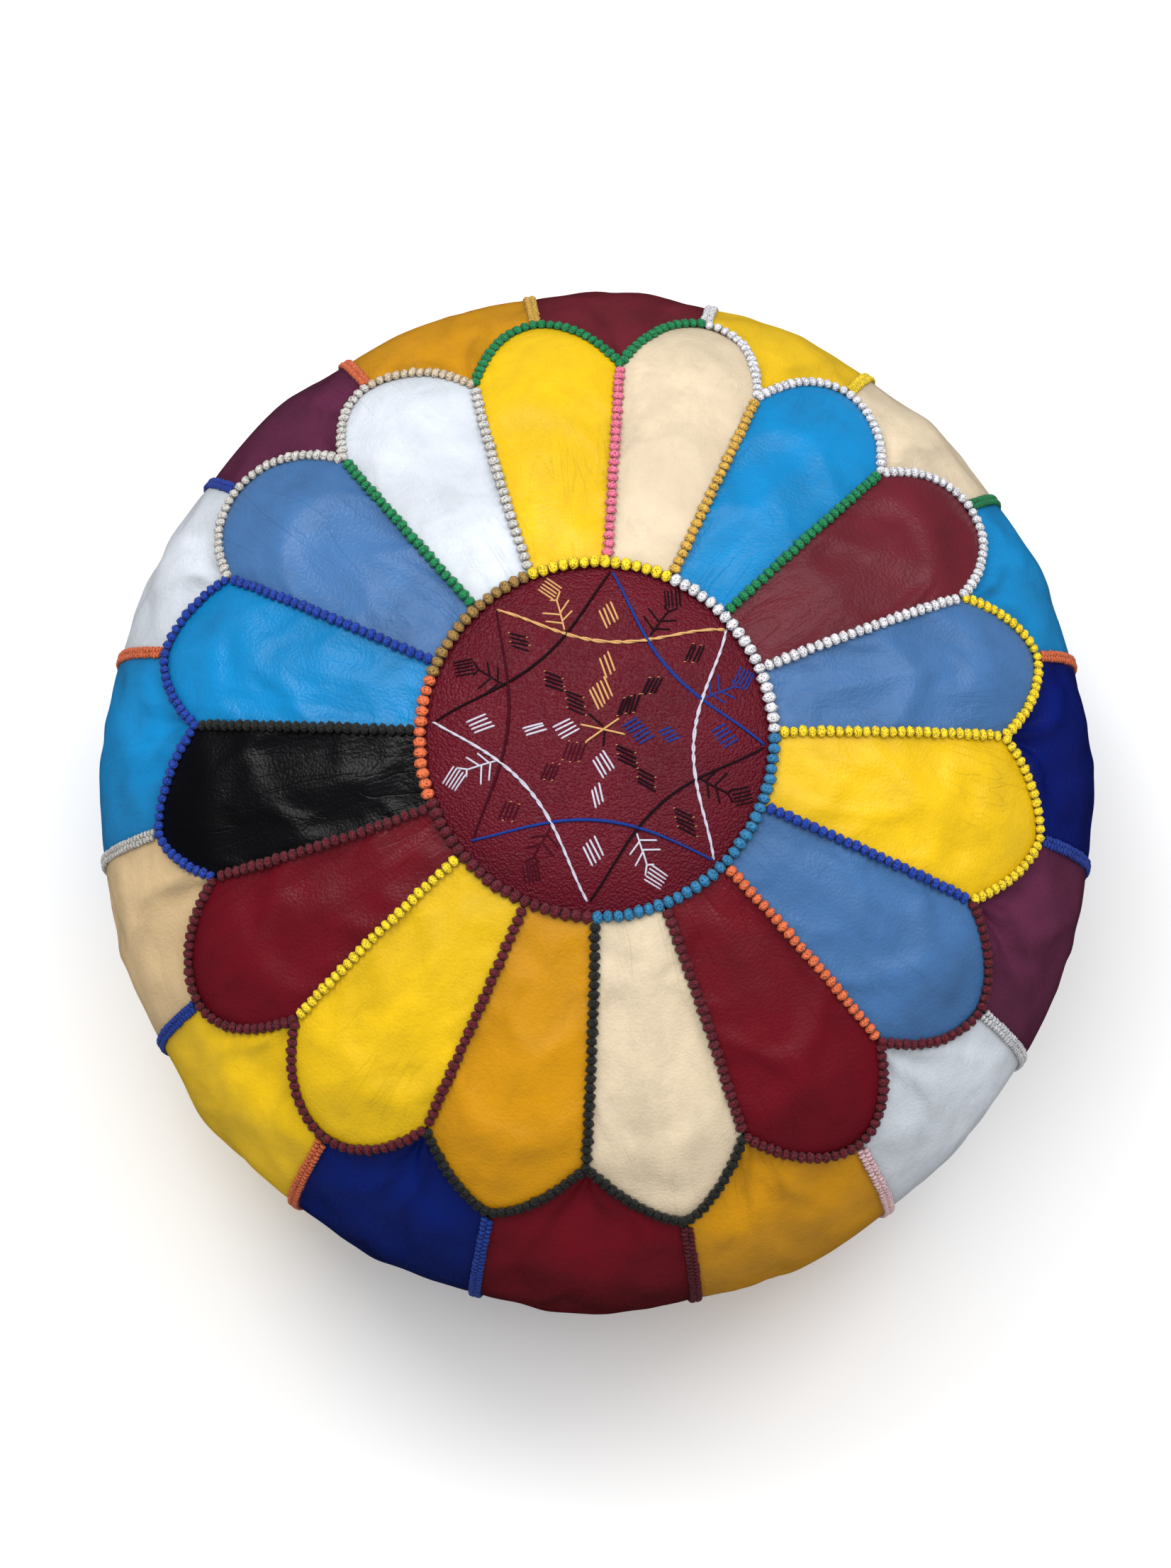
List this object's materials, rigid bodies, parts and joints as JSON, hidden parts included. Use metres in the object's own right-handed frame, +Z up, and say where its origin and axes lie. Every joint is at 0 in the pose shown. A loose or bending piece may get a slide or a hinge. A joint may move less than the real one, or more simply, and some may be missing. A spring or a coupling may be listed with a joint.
{
  "type": "leather pouf",
  "caption": "Round stuffed floor cushion of dyed leather panels, with an embroidered medallion, braided seams and a zip in its base.",
  "frame": {"origin": "middle of the pouf's footprint, on the floor it stands on", "axes": "+Z up; +Y towards the seam between the first and last petals' side of the pouf; +X to the right of it, seen from above; the zip runs along X"},
  "size_m": [0.5481, 0.5589, 0.3],
  "materials": {
    "leather_cream": "semi-gloss dyed goat leather with a fine grain",
    "leather_bright_blue": "semi-gloss dyed goat leather with a fine grain",
    "leather_burgundy": "semi-gloss dyed goat leather with a fine grain",
    "leather_slate_blue": "semi-gloss dyed goat leather with a fine grain",
    "leather_yellow": "semi-gloss dyed goat leather with a fine grain",
    "leather_dark_red": "semi-gloss dyed goat leather with a fine grain",
    "leather_ochre": "semi-gloss dyed goat leather with a fine grain",
    "leather_black": "semi-gloss dyed goat leather with a fine grain",
    "leather_white": "semi-gloss dyed goat leather with a fine grain",
    "leather_navy": "semi-gloss dyed goat leather with a fine grain",
    "leather_purple": "semi-gloss dyed goat leather with a fine grain",
    "leather_royal_blue": "semi-gloss dyed goat leather with a fine grain",
    "leather_tan": "semi-gloss dyed goat leather with a fine grain",
    "leather_natural": "plain undyed leather, matt",
    "thread_pink": "knotted viscose thread with a silky sheen",
    "thread_gold": "knotted viscose thread with a silky sheen",
    "thread_green": "knotted viscose thread with a silky sheen",
    "thread_white": "knotted viscose thread with a silky sheen",
    "thread_yellow": "knotted viscose thread with a silky sheen",
    "thread_royal_blue": "knotted viscose thread with a silky sheen",
    "thread_orange": "knotted viscose thread with a silky sheen",
    "thread_burgundy": "knotted viscose thread with a silky sheen",
    "thread_black": "knotted viscose thread with a silky sheen",
    "thread_silver": "knotted viscose thread with a silky sheen",
    "thread_mixed": "knotted viscose thread in several colours",
    "zip_tape": "woven cotton tape",
    "brass": "polished and slightly worn",
    "cotton": "plain woven cotton",
    "stuffing": "loose cotton wadding"
  },
  "bodies": {
    "pouf": {"medallion": "leather_burgundy", "petal_01": "leather_cream", "petal_02": "leather_bright_blue", "petal_03": "leather_burgundy", "petal_04": "leather_slate_blue", "petal_05": "leather_yellow", "petal_06": "leather_slate_blue", "petal_07": "leather_dark_red", "petal_08": "leather_cream", "petal_09": "leather_ochre", "petal_10": "leather_yellow", "petal_11": "leather_dark_red", "petal_12": "leather_black", "petal_13": "leather_bright_blue", "petal_14": "leather_slate_blue", "petal_15": "leather_white", "petal_16": "leather_yellow", "side_panel_01": "leather_burgundy", "side_panel_02": "leather_yellow", "side_panel_03": "leather_cream", "side_panel_04": "leather_bright_blue", "side_panel_05": "leather_navy", "side_panel_06": "leather_purple", "side_panel_07": "leather_white", "side_panel_08": "leather_ochre", "side_panel_09": "leather_dark_red", "side_panel_10": "leather_royal_blue", "side_panel_11": "leather_yellow", "side_panel_12": "leather_tan", "side_panel_13": "leather_bright_blue", "side_panel_14": "leather_white", "side_panel_15": "leather_purple", "side_panel_16": "leather_ochre", "ring_braid": "thread_mixed", "seam_braid_01": "thread_pink", "seam_braid_02": "thread_gold", "seam_braid_03": "thread_green", "seam_braid_04": "thread_white", "seam_braid_05": "thread_yellow", "seam_braid_06": "thread_royal_blue", "seam_braid_07": "thread_orange", "seam_braid_08": "thread_burgundy", "seam_braid_09": "thread_black", "seam_braid_10": "thread_burgundy", "seam_braid_11": "thread_yellow", "seam_braid_12": "thread_burgundy", "seam_braid_13": "thread_black", "seam_braid_14": "thread_royal_blue", "seam_braid_15": "thread_green", "seam_braid_16": "thread_silver", "outer_braid": "thread_mixed", "base_back": "leather_natural", "base_front": "leather_natural", "zip_tape_back": "zip_tape", "zip_tape_front": "zip_tape", "zip_teeth": "brass", "liner_bag": "cotton", "stuffing": "stuffing"},
    "slider": {"zip_slider": "brass"},
    "pull": {"zip_pull": "brass"}
  },
  "joints": [
    {"name": "zip_slide", "type": "slide", "parent": "pouf", "child": "slider", "axis": [-1, 0, 0], "range_m": [0, 0.19]},
    {"name": "pull_swing", "type": "hinge", "parent": "slider", "child": "pull", "pos_m": [0.1, 0, 0.0071], "axis": [0, -1, 0], "range_deg": [0, 150]}
  ]
}
